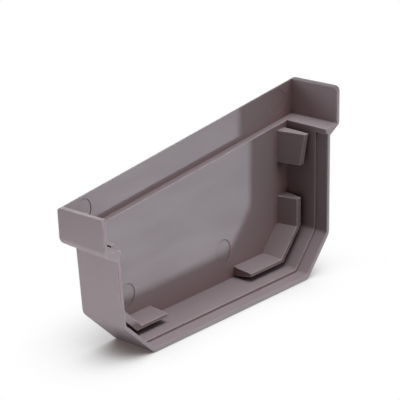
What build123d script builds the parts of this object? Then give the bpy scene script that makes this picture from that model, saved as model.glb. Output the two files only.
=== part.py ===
from build123d import *
import os
from math import atan, degrees, hypot, radians, tan

# End cap of a box gutter, moulded in one piece: a shallow tray that closes the gutter's end.
# It stands on its flat bottom flange. X runs from the gutter's front side to its wall side,
# Y from the open rim to the back, Z up. The origin is on the floor, below the middle.

# Outline at the open rim
overall_width = 180.0
front_height = 77.2
wall_height = 93.1
front_ear_step = 10.2
wall_ear_step = 7.0
front_ear_height = 18.8
wall_ear_height = 19.3
front_ear_lean = 1.6
front_underside_fall = 5.0
wall_underside_fall = 3.8
front_wall_lean = 4.4
chamfer_height = 19.0
front_chamfer_width = 22.3
wall_chamfer_width = 16.7

# Depths from the rim
body_depth = 26.1
band_setback = 3.1
rim_step_depth = 6.4

# Thicknesses
rim_thickness = 2.2
rim_step_height = 1.3
lip_height = 2.4
plate_thickness = 2.7
band_thickness = 2.5
ledge_thickness = 2.4

# Ledge between the lower plate and the band above it, measured down from the sloping top edge
front_band_height = 17.5
wall_band_height = 18.5
front_ear_floor_drop = 2.6
ear_floor_angle = 6.0

# Draft angles of the flange, which widens towards the rim
front_draft = 2.3
front_chamfer_draft = 3.8
wall_chamfer_draft = 2.6
wall_draft = 1.4
inner_bottom_draft = 2.2
ear_draft = 2.9
front_underside_draft = 2.9
top_draft = 1.2

# Rounded corners
chamfer_radius = 5.2
front_ear_radius = 4.5
wall_ear_radius = 2.0
back_radius = 1.6
top_back_radius = 3.5
rim_edge_radius = 0.4
front_ear_tip_radius = 1.0
wall_ear_tip_radius = 2.5

# Clips that hold the gutter's end against the flange, measured in from the flange's foot
clip_mouth = 2.4
clip_groove = 0.5
clip_length = 10.5
clip_wall_base = 7.8
clip_wall_lean = 2.5
clip_bottom_base = 5.4
clip_bottom_lean = 1.3
front_clip_chamfer_base = 9.4
front_clip_chamfer_lean = 3.6
wall_clip_chamfer_base = 6.5
wall_clip_chamfer_lean = 1.9
corner_clip_height = 36.5
front_clip_end = 26.0
wall_clip_end = 29.0
side_clip_base = 8.2
side_clip_lean = 3.3
side_clip_length = 14.7
side_clip_slant = 2.7
side_clip_height = 16.2
side_clip_ledge_gap = 3.2

# Round marks that the mould's ejector pins leave
pin_mark_radius = 6.0
pin_mark_depth = 0.15
band_mark_below_top = 8.6
front_band_mark_inset = 17.8
wall_band_mark_inset = 14.8
front_plate_mark_inset = 8.3
wall_plate_mark_inset = 38.0
plate_mark_height = 20.2

# Places worked out from the sizes above
half_width = overall_width / 2
total_depth = body_depth + band_setback
rim_y = -total_depth / 2
body_back_y = rim_y + body_depth
band_back_y = rim_y + total_depth
plate_y = body_back_y - plate_thickness
band_y = band_back_y - band_thickness
step_y = rim_y + rim_step_depth
foot_thickness = rim_thickness + rim_step_height
open_margin = 5.0

front_wall_x = -half_width + front_ear_step
wall_wall_x = half_width - wall_ear_step
front_foot_x = front_wall_x + front_wall_lean
front_bottom_x = front_foot_x + front_chamfer_width
wall_bottom_x = wall_wall_x - wall_chamfer_width
top_slope = (wall_height - front_height) / overall_width
front_root_height = front_height - front_ear_height - front_underside_fall
wall_root_height = wall_height - wall_ear_height - wall_underside_fall
lean_per_height = front_wall_lean / (front_root_height - chamfer_height)

front_ledge_x = front_wall_x + foot_thickness
wall_ledge_x = wall_wall_x - foot_thickness
front_ledge_z = front_height + top_slope * (front_ledge_x + half_width) - front_band_height
wall_ledge_z = front_height + top_slope * (wall_ledge_x + half_width) - wall_band_height


def crossing(first, second):
    """The point where two straight lines meet; each line is a point and a direction."""
    (x1, z1), (dx1, dz1) = first
    (x2, z2), (dx2, dz2) = second
    along = ((x2 - x1) * dz2 - (z2 - z1) * dx2) / (dx1 * dz2 - dz1 * dx2)
    return (x1 + along * dx1, z1 + along * dz1)


def inset(points, distances):
    """A closed outline whose sides are moved inwards, each by its own distance."""
    lines = []
    for start, end, distance in zip(points, points[1:] + points[:1], distances):
        dx, dz = end[0] - start[0], end[1] - start[1]
        length = hypot(dx, dz)
        corner = (start[0] - dz / length * distance, start[1] + dx / length * distance)
        lines.append((corner, (dx, dz)))
    return [crossing(before, after) for before, after in zip(lines[-1:] + lines[:-1], lines)]


def drafted_prism(points, near_y, far_y, neutral_y, angles):
    """A prism between two depths; each side leans inwards behind the neutral depth by its angle."""
    outline = Plane.XZ.offset(-near_y) * make_face(Polyline(*points, close=True))
    solid = extrude(outline, amount=near_y - far_y)
    neutral = Plane.ZX.offset(neutral_y)
    for start, end, angle in zip(points, points[1:] + points[:1], angles):
        if angle:
            middle = ((start[0] + end[0]) / 2, (near_y + far_y) / 2, (start[1] + end[1]) / 2)
            side = solid.faces().sort_by_distance(middle)[0]
            solid = draft([side], neutral, angle)
    return solid


def rounded(solid, corners, radius):
    """The solid with rounded edges where it runs from front to back, at these corners."""
    running = solid.edges().filter_by(lambda edge: abs(edge.tangent_at(0.5).Y) > 0.9)
    edges = [running.sort_by_distance((x, rim_y, z))[0] for x, z in corners]
    return fillet(edges, radius)


def rounded_end(solid, end, radius):
    """The solid with the edges of its rim face, 0, or its back face, -1, rounded, except the highest."""
    edges = solid.faces().sort_by(Axis.Y)[end].edges().sort_by(Axis.Z)
    return fillet(edges[:-1], radius)


def body_outline(front_top, wall_top):
    """The body's outer outline at the rim, with side walls that end at these heights."""
    return [
        (front_foot_x - lean_per_height * (front_top - chamfer_height), front_top),
        (front_foot_x, chamfer_height),
        (front_bottom_x, 0.0),
        (wall_bottom_x, 0.0),
        (wall_wall_x, chamfer_height),
        (wall_wall_x, wall_top),
    ]


def band_outline():
    """The outer outline of the upper band and its two ears at the rim."""
    return [
        (-half_width, front_height),
        (-half_width + front_ear_lean, front_height - front_ear_height),
        (front_wall_x, front_root_height),
        (wall_wall_x, wall_root_height),
        (half_width, wall_height - wall_ear_height),
        (half_width, wall_height),
    ]


def band_cavity_outline():
    """The inside of the band: a ledge between two ears, whose floors fall gently towards it."""
    floor_slope = tan(radians(ear_floor_angle))
    front_x = -half_width + rim_thickness
    wall_x = half_width - rim_thickness
    front_step_z = front_ledge_z - front_ear_floor_drop
    front_floor_z = front_step_z + floor_slope * (front_ledge_x - front_x)
    wall_floor_z = wall_ledge_z + floor_slope * (wall_x - wall_ledge_x)
    ear_lean_slope = front_ear_lean / front_ear_height
    return [
        (front_x - ear_lean_slope * open_margin, front_height + open_margin),
        (front_x + ear_lean_slope * (front_height - front_floor_z), front_floor_z),
        (front_ledge_x, front_step_z),
        (front_ledge_x, front_ledge_z),
        (wall_ledge_x, wall_ledge_z),
        (wall_x, wall_floor_z),
        (wall_x, wall_height + open_margin),
    ]


body_angles = [front_draft, front_chamfer_draft, 0.0, wall_chamfer_draft, wall_draft, 0.0]
cavity_angles = [front_draft, front_chamfer_draft, inner_bottom_draft, wall_chamfer_draft, wall_draft, 0.0]
band_angles = [ear_draft, front_underside_draft, 0.0, 0.0, ear_draft, top_draft]
band_cavity_angles = [ear_draft, 0.0, 0.0, 0.0, 0.0, ear_draft, 0.0]


def outer_body():
    front_top = (front_root_height + front_ledge_z) / 2
    wall_top = (wall_root_height + wall_ledge_z) / 2
    outline = body_outline(front_top, wall_top)
    solid = drafted_prism(outline, rim_y, body_back_y, rim_y, body_angles)
    solid = rounded_end(rounded(solid, outline[1:5], chamfer_radius), -1, back_radius)
    return rounded_end(solid, 0, rim_edge_radius)


def outer_band():
    """The band and its ears, cut back between the side walls to leave a ledge's thickness behind the body."""
    outline = band_outline()
    solid = drafted_prism(outline, rim_y, band_back_y, rim_y, band_angles)
    solid = rounded(solid, outline[1:2], front_ear_radius)
    solid = rounded_end(rounded(solid, outline[4:5], wall_ear_radius), -1, back_radius)
    under_ledge = [
        (front_wall_x, 0.0),
        (wall_wall_x, 0.0),
        (wall_wall_x, wall_ledge_z - ledge_thickness),
        (front_wall_x, front_ledge_z - ledge_thickness),
    ]
    recess = drafted_prism(under_ledge, body_back_y, band_back_y, rim_y, [0.0] * 4)
    return solid - recess


def body_cavity():
    """The inside below the ledge; near the rim the flange is thinner, up to a lip under the ears."""
    front_lip_z = front_ledge_z - front_ear_floor_drop - lip_height
    below_lip = body_outline(front_lip_z, wall_ledge_z - lip_height)
    outer = body_outline(front_ledge_z + open_margin, wall_ledge_z + open_margin)
    near = inset(below_lip, [rim_thickness] * 5 + [0.0])
    deep = inset(outer, [foot_thickness] * 5 + [0.0])
    near_part = drafted_prism(near, rim_y, step_y, rim_y, cavity_angles)
    deep_part = drafted_prism(deep, rim_y, plate_y, rim_y, cavity_angles)
    near_part = rounded(near_part, near[1:5], chamfer_radius - rim_thickness)
    deep_part = rounded(deep_part, deep[1:5], chamfer_radius - rim_thickness)
    return near_part + deep_part


def band_cavity():
    return drafted_prism(band_cavity_outline(), rim_y, band_y, rim_y, band_cavity_angles)


def flange_foot():
    """The flange's inner outline where it meets the plate."""
    outer = body_outline(front_ledge_z, wall_ledge_z)
    depth = plate_y - rim_y
    shifts = [foot_thickness + depth * tan(radians(angle)) for angle in cavity_angles]
    return inset(outer, shifts[:5] + [0.0])


def clip_strip(bases, leans, groove, length):
    """A strip that stands on the plate inside the flange, all the way round, and tapers to its tip."""
    tip_y = plate_y - length
    outer_tips = [clip_mouth] * 5 + [0.0]
    inner_tips = [base - lean for base, lean in zip(bases, leans)] + [0.0]
    outer_angles = [-degrees(atan((clip_mouth - groove) / length))] * 5 + [0.0]
    inner_angles = [degrees(atan(lean / length)) for lean in leans] + [0.0]
    outer = drafted_prism(inset(flange_foot(), outer_tips), tip_y, plate_y, tip_y, outer_angles)
    inner = drafted_prism(inset(flange_foot(), inner_tips), tip_y, plate_y, tip_y, inner_angles)
    return outer - inner


def corner_clip(side):
    """One clip that follows a chamfer, from the bottom up to the side wall."""
    chamfer_base = front_clip_chamfer_base if side < 0 else wall_clip_chamfer_base
    chamfer_lean = front_clip_chamfer_lean if side < 0 else wall_clip_chamfer_lean
    bases = [clip_wall_base, chamfer_base, clip_bottom_base, chamfer_base, clip_wall_base]
    leans = [clip_wall_lean, chamfer_lean, clip_bottom_lean, chamfer_lean, clip_wall_lean]
    strip = clip_strip(bases, leans, clip_groove, clip_length)
    end_x = front_bottom_x + front_clip_end if side < 0 else wall_bottom_x - wall_clip_end
    far_x = side * half_width
    window = Box(abs(far_x - end_x), 2 * total_depth, corner_clip_height)
    return strip & Pos((end_x + far_x) / 2, 0, corner_clip_height / 2) * window


def side_clip(side):
    """One shorter clip high on a side wall, with a slanting front edge and a straight outer face."""
    strip = clip_strip([side_clip_base] * 5, [side_clip_lean] * 5, clip_mouth, side_clip_length)
    top = (front_ledge_z if side < 0 else wall_ledge_z) - side_clip_ledge_gap
    low = top - side_clip_height
    outline = Polyline(
        (plate_y + plate_thickness / 2, low),
        (plate_y - side_clip_length + side_clip_slant, low),
        (plate_y - side_clip_length, top),
        (plate_y + plate_thickness / 2, top),
        close=True,
    )
    window = extrude(Plane.YZ * make_face(outline), amount=side * half_width)
    return strip & window


def pin_marks():
    """Shallow round marks on the band near each ear and low on the plate."""
    front_band_x = -half_width + front_band_mark_inset
    wall_band_x = half_width - wall_band_mark_inset
    marks = [
        (front_band_x, front_height + top_slope * front_band_mark_inset - band_mark_below_top, band_y),
        (wall_band_x, wall_height - top_slope * wall_band_mark_inset - band_mark_below_top, band_y),
        (front_bottom_x + front_plate_mark_inset, plate_mark_height, plate_y),
        (wall_bottom_x - wall_plate_mark_inset, plate_mark_height, plate_y),
    ]
    disc = Cylinder(pin_mark_radius, 2 * pin_mark_depth, rotation=(90, 0, 0))
    return [Pos(x, y, z) * disc for x, z, y in marks]


def tip_rounded(cap, x, top, radius):
    """The cap with one ear's top corner at the rim rounded."""
    edge = cap.edges().sort_by_distance((x, rim_y, top))[0]
    return fillet([edge], radius)


def inner_rim_rounded(cap, cavity):
    """The cap with its rim's edges rounded where the cavity opens."""
    rim = cap.faces().sort_by(Axis.Y)[0]
    edges = rim.edges().filter_by(lambda edge: cavity.distance_to(edge @ 0.5) < 0.001)
    return fillet(edges, rim_edge_radius)


def top_back_waste():
    """What is cut away along the sloping top to round the band's back edge."""
    side = top_back_radius + open_margin
    centre_y = band_back_y - top_back_radius
    draft_fall = total_depth * tan(radians(top_draft))
    centre_z = front_height - top_slope * open_margin - draft_fall - top_back_radius
    corner = Pos(centre_y + side / 2, centre_z + side / 2) * Rectangle(side, side)
    corner = corner - Pos(centre_y, centre_z) * Circle(top_back_radius)
    profile = Plane.YZ.offset(-half_width - open_margin) * corner
    run = overall_width + 2 * open_margin
    return extrude(profile, amount=run * hypot(1, top_slope), dir=(1, 0, top_slope))


def end_cap():
    cavity = body_cavity() + band_cavity()
    cap = outer_body() + outer_band() - cavity
    ear_middle = half_width - rim_thickness / 2
    ear_top_fall = top_slope * rim_thickness / 2
    cap = tip_rounded(cap, -ear_middle, front_height + ear_top_fall, front_ear_tip_radius)
    cap = tip_rounded(cap, ear_middle, wall_height - ear_top_fall, wall_ear_tip_radius)
    cap = inner_rim_rounded(cap, cavity) - top_back_waste()
    for side in (-1, 1):
        cap = cap + corner_clip(side) + side_clip(side)
    for mark in pin_marks():
        cap = cap - mark
    return cap


os.makedirs("parts", exist_ok=True)
cap = end_cap()
print("end_cap", cap.is_valid, len(cap.solids()), round(cap.volume, 1), cap.bounding_box())
export_step(cap, "parts/end_cap.step")
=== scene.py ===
import math

import bpy
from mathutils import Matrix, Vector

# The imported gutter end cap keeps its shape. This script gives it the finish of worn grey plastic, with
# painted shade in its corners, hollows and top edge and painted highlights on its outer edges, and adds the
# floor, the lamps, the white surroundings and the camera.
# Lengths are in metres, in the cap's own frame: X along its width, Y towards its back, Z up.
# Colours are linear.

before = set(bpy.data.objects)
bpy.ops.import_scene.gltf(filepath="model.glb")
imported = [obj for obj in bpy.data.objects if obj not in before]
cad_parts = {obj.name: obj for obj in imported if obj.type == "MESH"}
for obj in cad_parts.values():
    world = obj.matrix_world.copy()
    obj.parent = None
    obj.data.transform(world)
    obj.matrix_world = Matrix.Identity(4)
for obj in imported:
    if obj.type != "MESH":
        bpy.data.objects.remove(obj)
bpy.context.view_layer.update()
scene = bpy.context.scene
scene.view_settings.view_transform = "Standard"


# Node helpers

def feed(tree, node, inputs):
    """Gives each named or numbered input a fixed value, or links it to another node's output."""
    for name, value in inputs.items():
        if isinstance(value, bpy.types.NodeSocket):
            tree.links.new(value, node.inputs[name])
        else:
            node.inputs[name].default_value = value


def add_node(tree, kind, at, inputs=None, **settings):
    """A node at this place in the node editor, with its settings and then its inputs."""
    node = tree.nodes.new(kind)
    node.location = at
    for name, value in settings.items():
        setattr(node, name, value)
    feed(tree, node, inputs or {})
    return node


def calculate(tree, at, operation, *values):
    """The result of a mathematical operation on one or two values."""
    node = add_node(tree, "ShaderNodeMath", at, dict(enumerate(values)), operation=operation)
    return node.outputs["Value"]


def fade(tree, at, value, ends, span=(0.0, 1.0), smooth=False):
    """A mask that goes through the span as the value goes from the first end to the second."""
    inputs = {
        "Value": value, "From Min": ends[0], "From Max": ends[1], "To Min": span[0], "To Max": span[1],
    }
    steps = "SMOOTHSTEP" if smooth else "LINEAR"
    return add_node(tree, "ShaderNodeMapRange", at, inputs, interpolation_type=steps).outputs["Result"]


def mix_colours(tree, at, mask, first, second):
    """The first colour where the mask is 0, and the second where it is 1."""
    inputs = {0: mask, 6: first, 7: second}
    return add_node(tree, "ShaderNodeMix", at, inputs, data_type="RGBA").outputs[2]


def noise(tree, at, place, scale, detail, roughness):
    """Soft noise that stays where it is on the surface."""
    inputs = {"Vector": place, "Scale": scale, "Detail": detail, "Roughness": roughness}
    return add_node(tree, "ShaderNodeTexNoise", at, inputs).outputs["Fac"]


def openness(tree, at, reach, samples):
    """Ambient occlusion: 1 on an open surface, and less where something stands within reach."""
    inputs = {"Distance": reach}
    return add_node(tree, "ShaderNodeAmbientOcclusion", at, inputs, samples=samples).outputs["AO"]


def new_group(name, inputs, outputs):
    """A shader node group with these (name, kind, default) inputs and (name, kind) outputs."""
    group = bpy.data.node_groups.new(name, "ShaderNodeTree")
    for label, kind, default in inputs:
        made = group.interface.new_socket(name=label, in_out="INPUT", socket_type=kind)
        made.default_value = default
    for label, kind in outputs:
        group.interface.new_socket(name=label, in_out="OUTPUT", socket_type=kind)
    start = add_node(group, "NodeGroupInput", (-900, 0)).outputs
    end = add_node(group, "NodeGroupOutput", (900, 0))
    return group, start, end


FLOAT = "NodeSocketFloat"
VECTOR = "NodeSocketVector"
ORIGIN = (0.0, 0.0, 0.0)
WHITE = (1.0, 1.0, 1.0, 1.0)


# Shared effects

EDGE_SAMPLES = 6
HOLLOW_SAMPLES = 8
EDGE_WIDTH = 0.0011
BREAKUP_SCALE = 300.0
ROUNDED_EDGE_RADIUS = 0.0005
OUTER_EDGE_REACH = 0.0018
CORNER_REACH = 0.0055
HOLLOW_REACH = 0.035

# The ends of each fade, from where its mask starts to where it is full
EDGE_TURN = (0.998, 0.86)
EDGE_OPENNESS = (0.70, 0.90)
WEAR_AND_HIGHLIGHT_PATCHES = (0.30, 0.60)
TOP_EDGE_SHADE_HEIGHT = (0.0885, 0.0915)
TOP_EDGE_SHADE_SLOPE = (0.35, 0.75)
CORNER_DEPTH = (0.50, 0.14)
HOLLOW_DEPTH = (0.92, 0.42)
HOLLOW_SLOPE = (0.85, 0.35)
LEAST_WEAR_AND_HIGHLIGHT = 0.45
MOST_TOP_EDGE_SHADE = 0.9


def edge_wear_and_shade_group():
    """Masks of the rubbed outer edges with their painted highlight, the painted shade on the top edge
    beside the wall, and the painted shade in corners and hollows, with a normal that rounds sharp edges."""
    group, start, end = new_group(
        "EdgeWearAndPaintedShade",
        [
            ("Position", VECTOR, ORIGIN), ("Edge Width", FLOAT, EDGE_WIDTH),
            ("Breakup Scale", FLOAT, BREAKUP_SCALE),
        ],
        [
            ("Worn Edge And Highlight", FLOAT), ("Inner Corner Painted Shade", FLOAT), ("Deep Hollow Painted Shade", FLOAT), ("Top Edge Painted Shade", FLOAT),
            ("Rounded Normal", VECTOR),
        ],
    )

    # Outer edges: the normal turns near them, and they stand free on the outside; their pale tone is partly
    # rubbed wear and partly a painted highlight
    plain = add_node(group, "ShaderNodeNewGeometry", (-700, 0)).outputs["Normal"]
    rounded = add_node(
        group, "ShaderNodeBevel", (-700, 400), {"Radius": ROUNDED_EDGE_RADIUS}, samples=EDGE_SAMPLES)
    wide = add_node(
        group, "ShaderNodeBevel", (-700, 200), {"Radius": start["Edge Width"]}, samples=EDGE_SAMPLES)
    likeness = add_node(
        group, "ShaderNodeVectorMath", (-500, 150), {0: wide.outputs["Normal"], 1: plain},
        operation="DOT_PRODUCT")
    turned = fade(group, (-300, 150), likeness.outputs["Value"], EDGE_TURN, smooth=True)
    open_side = openness(group, (-700, -200), OUTER_EDGE_REACH, EDGE_SAMPLES)
    free = fade(group, (-450, -200), open_side, EDGE_OPENNESS)
    breakup = noise(
        group, (-700, -420), start["Position"], start["Breakup Scale"], detail=3.0, roughness=0.6)
    patchy = fade(group, (-450, -420), breakup, WEAR_AND_HIGHLIGHT_PATCHES, span=(LEAST_WEAR_AND_HIGHLIGHT, 1.0))
    outer = calculate(group, (-100, 100), "MULTIPLY", turned, free)
    rubbed_and_lit = calculate(group, (100, 0), "MULTIPLY", outer, patchy)

    # The top edge beside the wall faces up and catches the top light; painted shade darkens it, and it gets
    # no rubbed edge
    height = add_node(group, "ShaderNodeSeparateXYZ", (-500, 480), {"Vector": start["Position"]})
    high = fade(group, (-300, 480), height.outputs["Z"], TOP_EDGE_SHADE_HEIGHT, span=(0.0, MOST_TOP_EDGE_SHADE))
    facing = add_node(group, "ShaderNodeSeparateXYZ", (-500, -1020), {"Vector": plain})
    upward = fade(group, (-300, 640), facing.outputs["Z"], TOP_EDGE_SHADE_SLOPE)
    top_edge_shade = calculate(group, (-100, 520), "MULTIPLY", high, upward)
    elsewhere = calculate(group, (100, 520), "SUBTRACT", 1.0, top_edge_shade)
    worn_and_lit = calculate(group, (300, 200), "MULTIPLY", rubbed_and_lit, elsewhere)

    # Painted shade in corners and hollows, where shade falls; a face that looks up gets none of the hollow
    # shade
    nearby = openness(group, (-700, -640), CORNER_REACH, EDGE_SAMPLES)
    corner_shade = fade(group, (-450, -640), nearby, CORNER_DEPTH)
    around = openness(group, (-700, -860), HOLLOW_REACH, HOLLOW_SAMPLES)
    deep = fade(group, (-450, -860), around, HOLLOW_DEPTH)
    steep = fade(group, (-300, -1020), facing.outputs["Z"], HOLLOW_SLOPE)
    hollow_shade = calculate(group, (-100, -900), "MULTIPLY", deep, steep)

    feed(group, end, {
        "Worn Edge And Highlight": worn_and_lit,
        "Inner Corner Painted Shade": corner_shade,
        "Deep Hollow Painted Shade": hollow_shade,
        "Top Edge Painted Shade": top_edge_shade,
        "Rounded Normal": rounded.outputs["Normal"],
    })
    return group


CLOUD_SCALE = 28.0
FLOW_SCALE = 90.0
FLOW_STRETCH = (0.25, 1.0, 1.0)
GRAIN_SCALE = 1500.0


def moulded_skin_group():
    """Cloudy colour, faint flow lines and fine grain of a moulded surface."""
    group, start, end = new_group(
        "MouldedSkin",
        [
            ("Position", VECTOR, ORIGIN), ("Cloud Scale", FLOAT, CLOUD_SCALE),
            ("Grain Scale", FLOAT, GRAIN_SCALE),
        ],
        [("Cloud", FLOAT), ("Flow", FLOAT), ("Grain", FLOAT)],
    )
    place = start["Position"]
    drawn = add_node(group, "ShaderNodeMapping", (-780, -50), {"Vector": place, "Scale": FLOW_STRETCH})
    flow_place = drawn.outputs["Vector"]
    feed(group, end, {
        "Cloud": noise(group, (-600, 200), place, start["Cloud Scale"], detail=3.0, roughness=0.55),
        "Flow": noise(group, (-600, -50), flow_place, FLOW_SCALE, detail=2.0, roughness=0.5),
        "Grain": noise(group, (-600, -300), place, start["Grain Scale"], detail=2.0, roughness=0.6),
    })
    return group


# A pin mark, whose dark line is painted shade along its shallow step: how far its dark line, its depth in
# the face, its two sides and its disc's edge reach
RING_RADIUS = 0.006
RING_LINE = (0.00048, 0.00014)
RING_DEPTH = (0.0009, 0.0005)
RING_SIDES = (-0.004, 0.005)
RING_FAINT_SIDE = 0.25
DISC_EDGE = (0.0002, -0.0002)
DISC_SHADE = 0.10


def ring_mark_group():
    """An ejector pin mark: a slightly darker disc with a thin dark line of painted shade along its step,
    strongest towards the wall.
    """
    group, start, end = new_group(
        "RingMark",
        [
            ("Position", VECTOR, ORIGIN), ("Centre", VECTOR, ORIGIN), ("Radius", FLOAT, RING_RADIUS),
            ("Strength", FLOAT, 1.0),
        ],
        [("Mark", FLOAT)],
    )
    offset = add_node(
        group, "ShaderNodeVectorMath", (-700, 100), {0: start["Position"], 1: start["Centre"]},
        operation="SUBTRACT")
    parts = add_node(
        group, "ShaderNodeSeparateXYZ", (-520, 100), {"Vector": offset.outputs["Vector"]}).outputs
    flat = add_node(group, "ShaderNodeCombineXYZ", (-340, 200), {"X": parts["X"], "Z": parts["Z"]})
    length = add_node(
        group, "ShaderNodeVectorMath", (-180, 200), {0: flat.outputs["Vector"]}, operation="LENGTH")
    gap = calculate(group, (-20, 200), "SUBTRACT", length.outputs["Value"], start["Radius"])
    away = calculate(group, (120, 200), "ABSOLUTE", gap)
    line = fade(group, (260, 200), away, RING_LINE, smooth=True)
    depth = calculate(group, (-340, -100), "ABSOLUTE", parts["Y"])
    level = fade(group, (-180, -100), depth, RING_DEPTH)
    side = fade(group, (-180, -350), parts["X"], RING_SIDES, span=(RING_FAINT_SIDE, 1.0))
    on_face = calculate(group, (420, 100), "MULTIPLY", line, level)
    sided = calculate(group, (580, 100), "MULTIPLY", on_face, side)
    inside = fade(group, (260, -100), gap, DISC_EDGE, span=(0.0, DISC_SHADE))
    disc = calculate(group, (420, -150), "MULTIPLY", inside, level)
    darkest = calculate(group, (660, 0), "MAXIMUM", sided, disc)
    feed(group, end, {"Mark": calculate(group, (780, 0), "MULTIPLY", darkest, start["Strength"])})
    return group


# Materials

DARKER_PLASTIC = (0.258, 0.208, 0.218, 1.0)
LIGHTER_PLASTIC = (0.274, 0.221, 0.232, 1.0)
# Painted shade for deep hollows
HOLLOW_PAINTED_SHADE = (0.185, 0.100, 0.102, 1.0)
# Painted shade for the up-facing top edge beside the wall
TOP_EDGE_PAINTED_SHADE = (0.105, 0.080, 0.084, 1.0)
# Pale rubbed wear that is also a painted highlight on outer edges
RUBBED_EDGE_AND_HIGHLIGHT = (0.54, 0.465, 0.48, 1.0)
# A pin mark's slightly darker disc, and the painted shade of the dark line along its rim
PIN_MARK_TONE_AND_SHADE = (0.09, 0.065, 0.066, 1.0)
# Painted shade for tight inner corners and gaps
CORNER_PAINTED_SHADE = (0.045, 0.026, 0.026, 1.0)
PLASTIC_IOR = 1.48
NOISE_SPREAD = (0.3, 0.7)
SATIN_ROUGHNESS = (0.47, 0.52)
GRAIN_STRENGTH = 0.25
GRAIN_DEPTH = 0.0001

# Centre of each pin mark, and how strongly it shows
PIN_MARKS = [
    ((-0.0722, 0.0121, 0.0702), 1.0),
    ((0.0752, 0.0121, 0.0832), 0.3),
    ((-0.0448, 0.0088, 0.0202), 1.0),
    ((0.0283, 0.0088, 0.0202), 1.0),
]


def grey_plastic(edge_wear_and_shade, moulded_skin, ring_mark):
    """Warm grey rigid plastic, satin as moulded, with painted shade and painted highlights."""
    material = bpy.data.materials.new("grey_plastic_moulded")
    material.use_nodes = True
    tree = material.node_tree
    place = add_node(tree, "ShaderNodeTexCoord", (-1300, 0)).outputs["Object"]
    skin = add_node(
        tree, "ShaderNodeGroup", (-1050, 200), {"Position": place}, node_tree=moulded_skin).outputs
    wear_and_shade = add_node(
        tree, "ShaderNodeGroup", (-1050, -200), {"Position": place}, node_tree=edge_wear_and_shade).outputs

    rings = None
    for number, (centre, strength) in enumerate(PIN_MARKS):
        down = -500 - 200 * number
        inputs = {"Position": place, "Centre": centre, "Strength": strength}
        ring = add_node(tree, "ShaderNodeGroup", (-1050, down), inputs, node_tree=ring_mark).outputs["Mark"]
        rings = ring if rings is None else calculate(tree, (-850, down), "MAXIMUM", rings, ring)

    # The plastic's own tone, and over it each tint with its mask and the most it covers: painted shade in
    # hollows, on the top edge, along pin mark rims and in corners, and rubbed wear with a painted highlight
    # on outer edges
    cloud = fade(tree, (-850, 400), skin["Cloud"], NOISE_SPREAD)
    colour = mix_colours(tree, (-650, 400), cloud, DARKER_PLASTIC, LIGHTER_PLASTIC)
    tints = [
        # painted shade that darkens the deep hollows
        (HOLLOW_PAINTED_SHADE, wear_and_shade["Deep Hollow Painted Shade"], 0.8),
        # painted shade on the top edge beside the wall
        (TOP_EDGE_PAINTED_SHADE, wear_and_shade["Top Edge Painted Shade"], 1.0),
        # rubbed wear and a painted highlight on outer edges
        (RUBBED_EDGE_AND_HIGHLIGHT, wear_and_shade["Worn Edge And Highlight"], 0.9),
        # pin marks: a slightly darker disc, with painted shade along their rims
        (PIN_MARK_TONE_AND_SHADE, rings, 0.9),
        # painted shade that darkens tight inner corners and gaps
        (CORNER_PAINTED_SHADE, wear_and_shade["Inner Corner Painted Shade"], 1.0),
    ]
    for number, (tint, mask, most) in enumerate(tints):
        along = -600 + 120 * number
        cover = calculate(tree, (along, 100), "MULTIPLY", mask, most)
        colour = mix_colours(tree, (along, 400), cover, colour, tint)

    inputs = {
        "Height": skin["Grain"], "Normal": wear_and_shade["Rounded Normal"],
        "Strength": GRAIN_STRENGTH, "Distance": GRAIN_DEPTH,
    }
    bump = add_node(tree, "ShaderNodeBump", (-200, -300), inputs)
    feed(tree, tree.nodes["Principled BSDF"], {
        "Base Color": colour,
        "Roughness": fade(tree, (-400, -100), skin["Flow"], NOISE_SPREAD, span=SATIN_ROUGHNESS),
        "IOR": PLASTIC_IOR,
        "Normal": bump.outputs["Normal"],
    })
    return material


FLOOR_SIZE = 30.0
FLOOR_SHADOW = (0.10, 0.075, 0.075, 1.0)
FLOOR_SHADOW_REACH = 0.055
FLOOR_SHADOW_FADE = (0.10, 0.95)
FLOOR_SHADOW_LEAN = {"X": 0.08, "Y": -0.10, "Z": 0.992}
FLOOR_SAMPLES = 16


def studio_floor():
    """White floor with the cap's soft shadow, a little stronger on its left and behind it."""
    material = bpy.data.materials.new("studio_floor")
    material.use_nodes = True
    tree = material.node_tree
    tree.nodes.remove(tree.nodes["Principled BSDF"])
    lean = add_node(tree, "ShaderNodeCombineXYZ", (-900, 0), FLOOR_SHADOW_LEAN)
    inputs = {"Distance": FLOOR_SHADOW_REACH, "Normal": lean.outputs["Vector"]}
    near = add_node(tree, "ShaderNodeAmbientOcclusion", (-700, 0), inputs, samples=FLOOR_SAMPLES)
    light = fade(tree, (-450, 0), near.outputs["AO"], FLOOR_SHADOW_FADE, smooth=True)
    tint = mix_colours(tree, (-250, 0), light, FLOOR_SHADOW, WHITE)
    glow = add_node(tree, "ShaderNodeEmission", (0, 0), {"Color": tint})
    feed(tree, tree.nodes["Material Output"], {"Surface": glow.outputs["Emission"]})
    return material


# The cap: the imported solid keeps its shape and gets its finish, painted shade and highlights included

plastic = grey_plastic(edge_wear_and_shade_group(), moulded_skin_group(), ring_mark_group())
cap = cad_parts["end_cap"]
for slot in cap.material_slots:
    slot.material = plastic


# Floor

def make_floor():
    """A wide floor that throws no light or shadow on the cap."""
    bpy.ops.mesh.primitive_plane_add(size=FLOOR_SIZE, location=ORIGIN)
    floor = bpy.context.object
    floor.name = "floor"
    floor.data.materials.append(studio_floor())
    floor.visible_diffuse = False
    floor.visible_shadow = False


make_floor()


# Light

def place_turned(name, data, place, aim):
    """A lamp or camera at this place, which looks along aim."""
    holder = bpy.data.objects.new(name, data)
    holder.location = place
    holder.rotation_mode = "QUATERNION"
    holder.rotation_quaternion = aim.to_track_quat("-Z", "Y")
    scene.collection.objects.link(holder)
    return holder


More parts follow.
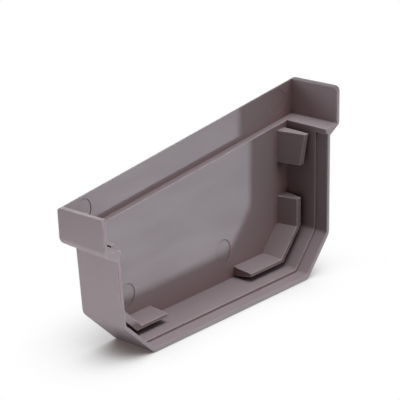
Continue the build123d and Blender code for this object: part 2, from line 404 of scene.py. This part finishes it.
def lamp(name, place, faces, size, colour, watts):
    """A soft lamp of this width and height, which faces a point."""
    light = bpy.data.lights.new(name, "AREA")
    light.shape = "RECTANGLE"
    light.size, light.size_y = size
    light.energy = watts
    light.color = colour
    holder = place_turned(name, light, place, Vector(faces) - Vector(place))
    holder.visible_camera = False


# Name, place, the point it faces, width and height, colour, watts
CAP_MIDDLE = (0.0, 0.0, 0.045)
LAMPS = [
    ("key_lamp", (1.52, -1.09, -0.79), CAP_MIDDLE, (0.13, 0.20), (0.88, 0.93, 1.0), 10.1),
    ("left_lamp", (-1.5, 0.9, 0.5), CAP_MIDDLE, (0.8, 0.8), (0.96, 0.97, 1.0), 9.5),
    ("left_edge_lamp", (-1.8, -0.095, 0.10), CAP_MIDDLE, (0.06, 0.4), (1.0, 0.90, 0.92), 1.8),
    ("floor_bounce", (-0.19, -0.02, 0.001), (-0.19, -0.02, 1.0), (0.21, 0.24), (0.97, 0.98, 1.0), 0.175),
    ("top_lamp", (0.08, 0.02, 1.8), CAP_MIDDLE, (1.2, 1.2), (0.93, 0.97, 1.0), 32.0),
    ("front_lamp", (0.35, -1.7, 0.9), CAP_MIDDLE, (1.2, 1.2), (1.0, 0.93, 0.94), 12.2),
    ("back_lamp", (0.3, 1.9, 0.5), CAP_MIDDLE, (1.2, 1.2), (1.0, 1.0, 1.0), 14.0),
]
for row in LAMPS:
    lamp(*row)


def white_surroundings():
    """White to the camera and in reflections, and dark to all else, so only the lamps light the cap."""
    world = bpy.data.worlds.new("studio")
    scene.world = world
    world.use_nodes = True
    tree = world.node_tree
    tree.nodes.clear()
    ray = add_node(tree, "ShaderNodeLightPath", (-300, 400)).outputs
    direct = calculate(tree, (-100, 400), "MAXIMUM", ray["Is Camera Ray"], ray["Is Glossy Ray"])
    seen = calculate(tree, (50, 300), "MAXIMUM", direct, ray["Is Transmission Ray"])
    dark = add_node(tree, "ShaderNodeBackground", (-100, 100), {"Strength": 0.0})
    white = add_node(tree, "ShaderNodeBackground", (-100, -100), {"Color": WHITE, "Strength": 1.0})
    inputs = {0: seen, 1: dark.outputs["Background"], 2: white.outputs["Background"]}
    pick = add_node(tree, "ShaderNodeMixShader", (200, 0), inputs)
    add_node(tree, "ShaderNodeOutputWorld", (400, 0), {"Surface": pick.outputs["Shader"]})


white_surroundings()


# Camera

# Angles in degrees, the lens and its sensor in millimetres
CAMERA_AZIMUTH = 308.4226
CAMERA_ELEVATION = 20.6513
CAMERA_DISTANCE = 2.1047
CAMERA_TARGET = (-0.0186434, -0.0146, 0.0662167)
LENS = 405.0
SENSOR_WIDTH = 36.0
CLIP_RANGE = (0.1, 100.0)


def make_camera():
    """The photograph's viewpoint: a long lens from the front side, a little above."""
    azimuth, elevation = math.radians(CAMERA_AZIMUTH), math.radians(CAMERA_ELEVATION)
    look = Vector((
        -math.sin(azimuth) * math.cos(elevation),
        math.cos(azimuth) * math.cos(elevation),
        -math.sin(elevation),
    ))
    camera = bpy.data.cameras.new("camera")
    camera.sensor_width = SENSOR_WIDTH
    camera.lens = LENS
    camera.clip_start, camera.clip_end = CLIP_RANGE
    scene.camera = place_turned("camera", camera, Vector(CAMERA_TARGET) - look * CAMERA_DISTANCE, look)


make_camera()
